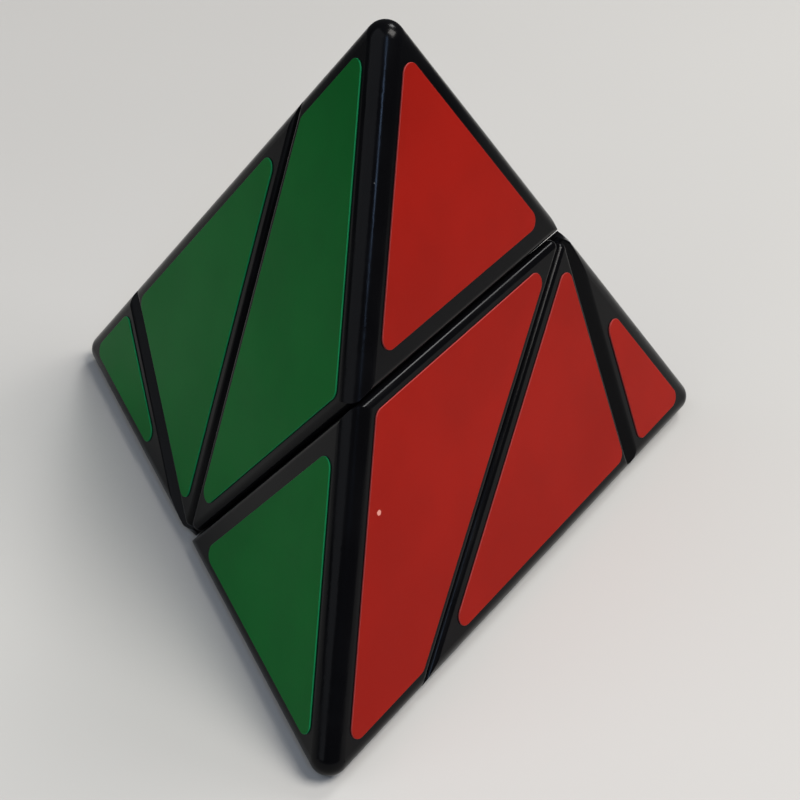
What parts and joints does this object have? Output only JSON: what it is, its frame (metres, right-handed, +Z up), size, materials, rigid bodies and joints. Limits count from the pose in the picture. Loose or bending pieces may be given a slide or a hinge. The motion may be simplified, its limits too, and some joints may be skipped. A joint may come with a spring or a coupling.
{
  "type": "pyramid twisty puzzle",
  "caption": "Pyramid-shaped twisty puzzle: black plastic wedges with coloured stickers, cut by three planes through one line and turning on a hidden sprung core.",
  "frame": {"origin": "middle of the base triangle, on the resting plane", "axes": "+Z up through the apex, -Y towards the front corner and the front edge, +X to the right"},
  "size_m": [0.0908, 0.0793, 0.0752],
  "materials": {
    "shell_plastic": "glossy black moulded ABS",
    "inner_plastic": "semi-gloss black moulded ABS",
    "core_plastic": "semi-gloss black moulded plastic",
    "green_vinyl": "thin printed vinyl sticker, satin",
    "red_vinyl": "thin printed vinyl sticker, satin",
    "blue_vinyl": "thin printed vinyl sticker, satin",
    "yellow_vinyl": "thin printed vinyl sticker, satin",
    "screw_steel": "zinc-plated steel",
    "washer_steel": "zinc-plated steel",
    "spring_steel": "spring steel wire"
  },
  "bodies": {
    "core": {"core": "core_plastic", "left_edge_screw": "screw_steel", "left_edge_washer": "washer_steel", "left_edge_spring": "spring_steel", "right_corner_screw": "screw_steel", "right_corner_washer": "washer_steel", "right_corner_spring": "spring_steel", "front_corner_screw": "screw_steel", "front_corner_washer": "washer_steel", "front_corner_spring": "spring_steel"},
    "apex_wedge": {"apex_shell": "shell_plastic", "apex_body": "inner_plastic", "apex_green_sticker": "green_vinyl", "apex_red_sticker": "red_vinyl", "apex_blue_sticker": "blue_vinyl"},
    "left_edge_wedge": {"left_edge_shell": "shell_plastic", "left_edge_body": "inner_plastic", "left_edge_green_sticker": "green_vinyl", "left_edge_blue_sticker": "blue_vinyl"},
    "left_corner_wedge": {"left_corner_shell": "shell_plastic", "left_corner_body": "inner_plastic", "left_corner_green_sticker": "green_vinyl", "left_corner_blue_sticker": "blue_vinyl", "left_corner_yellow_sticker": "yellow_vinyl"},
    "right_corner_wedge": {"right_corner_shell": "shell_plastic", "right_corner_body": "inner_plastic", "right_corner_red_sticker": "red_vinyl", "right_corner_blue_sticker": "blue_vinyl", "right_corner_yellow_sticker": "yellow_vinyl"},
    "right_edge_wedge": {"right_edge_shell": "shell_plastic", "right_edge_body": "inner_plastic", "right_edge_red_sticker": "red_vinyl", "right_edge_yellow_sticker": "yellow_vinyl"},
    "front_corner_wedge": {"front_corner_shell": "shell_plastic", "front_corner_body": "inner_plastic", "front_corner_green_sticker": "green_vinyl", "front_corner_red_sticker": "red_vinyl", "front_corner_yellow_sticker": "yellow_vinyl"}
  },
  "joints": [
    {"name": "rear_turn", "type": "hinge", "parent": "right_corner_wedge", "child": "core", "pos_m": [0, 0, 0.0202], "axis": [-0.3536, -0.503, 0.7887], "range_deg": [-360, 360]},
    {"name": "main_turn", "type": "hinge", "parent": "core", "child": "left_edge_wedge", "pos_m": [0, 0, 0.0202], "axis": [-0.7071, 0.4082, 0.5774], "continuous": true},
    {"name": "front_turn", "type": "hinge", "parent": "core", "child": "front_corner_wedge", "pos_m": [0, 0, 0.0202], "axis": [0.3536, -0.9112, 0.2113], "range_deg": [-360, 360]},
    {"name": "left_corner_follow", "type": "hinge", "parent": "right_corner_wedge", "child": "left_corner_wedge", "pos_m": [0, 0, 0.0202], "axis": [-0.7071, 0.4082, 0.5774], "continuous": true},
    {"name": "apex_follow", "type": "hinge", "parent": "left_edge_wedge", "child": "apex_wedge", "pos_m": [0, 0, 0.0202], "axis": [0.3536, -0.9112, 0.2113], "range_deg": [-360, 360]},
    {"name": "right_edge_follow", "type": "hinge", "parent": "right_corner_wedge", "child": "right_edge_wedge", "pos_m": [0, 0, 0.0202], "axis": [0.3536, -0.9112, 0.2113], "range_deg": [-360, 360]}
  ],
  "couplings": [
    {"joint": "left_corner_follow", "follows": "main_turn", "ratio": 1},
    {"joint": "apex_follow", "follows": "front_turn", "ratio": 1},
    {"joint": "right_edge_follow", "follows": "front_turn", "ratio": 1}
  ]
}
